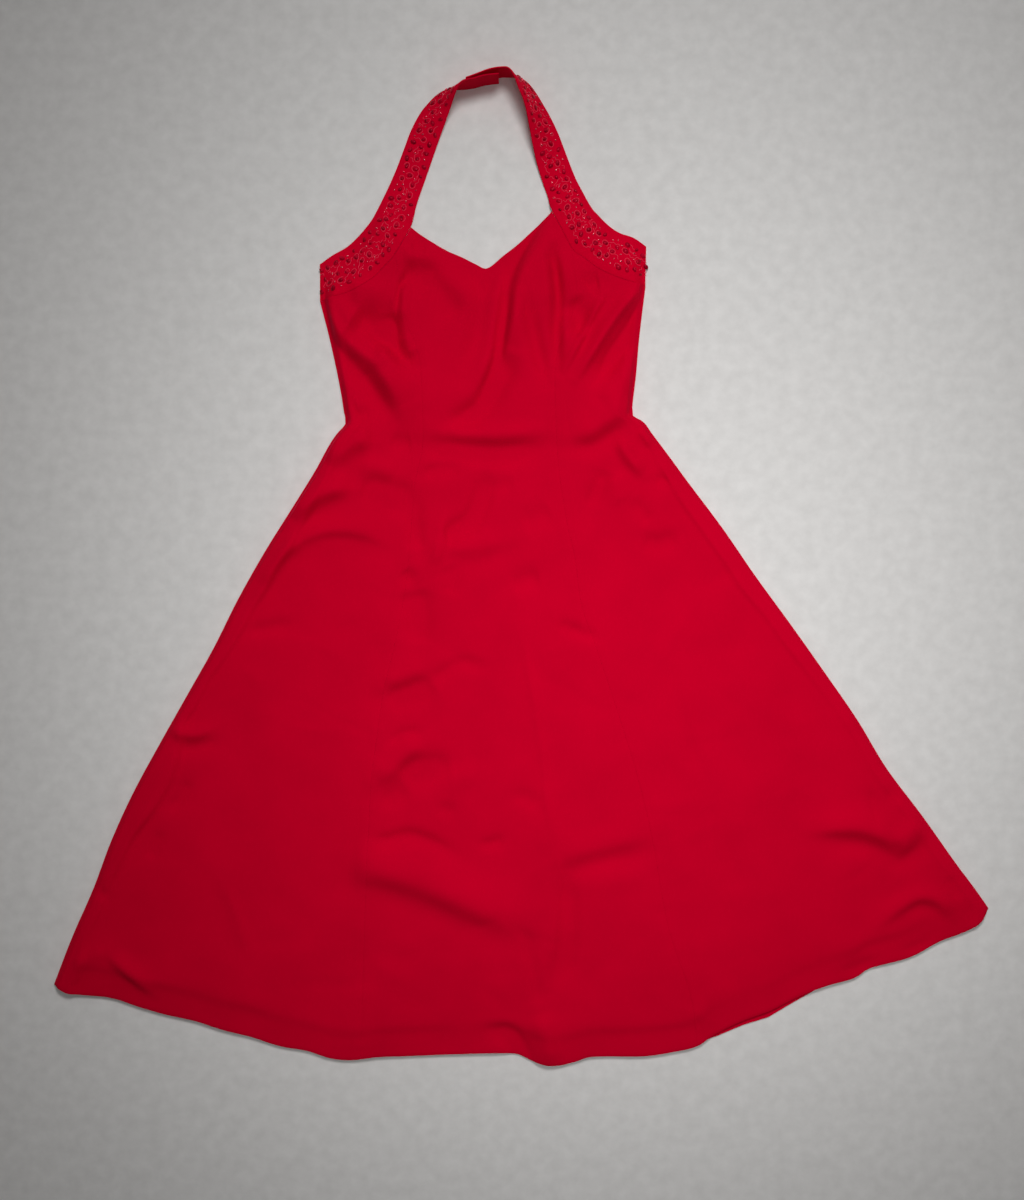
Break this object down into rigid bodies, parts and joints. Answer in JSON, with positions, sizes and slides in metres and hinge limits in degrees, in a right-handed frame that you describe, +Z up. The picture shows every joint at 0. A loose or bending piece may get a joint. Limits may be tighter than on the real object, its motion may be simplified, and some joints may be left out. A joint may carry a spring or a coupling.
{
  "type": "halter_dress",
  "caption": "Red halter dress laid flat, front up: beaded bands up the armholes to a neck loop, sweetheart neck, princess seams, flared skirt with a turned-up hem.",
  "frame": {"origin": "on the floor under the middle of the dress's outline", "axes": "+Z up from the floor through the front of the dress, +Y from the hem towards the neck loop, +X to the right in the picture"},
  "size_m": [1.1669, 1.2345, 0.0381],
  "materials": {
    "dress_cloth": "matte crepe, red",
    "band_cloth": "matte crepe under red beading"
  },
  "bodies": {
    "root": {"centre_front": "dress_cloth", "side_front_left": "dress_cloth", "side_front_right": "dress_cloth", "halter_band_left": "band_cloth", "halter_band_right": "band_cloth", "back_left": "dress_cloth", "back_right": "dress_cloth", "back_band_left": "band_cloth", "back_band_right": "band_cloth"}
  },
  "joints": []
}
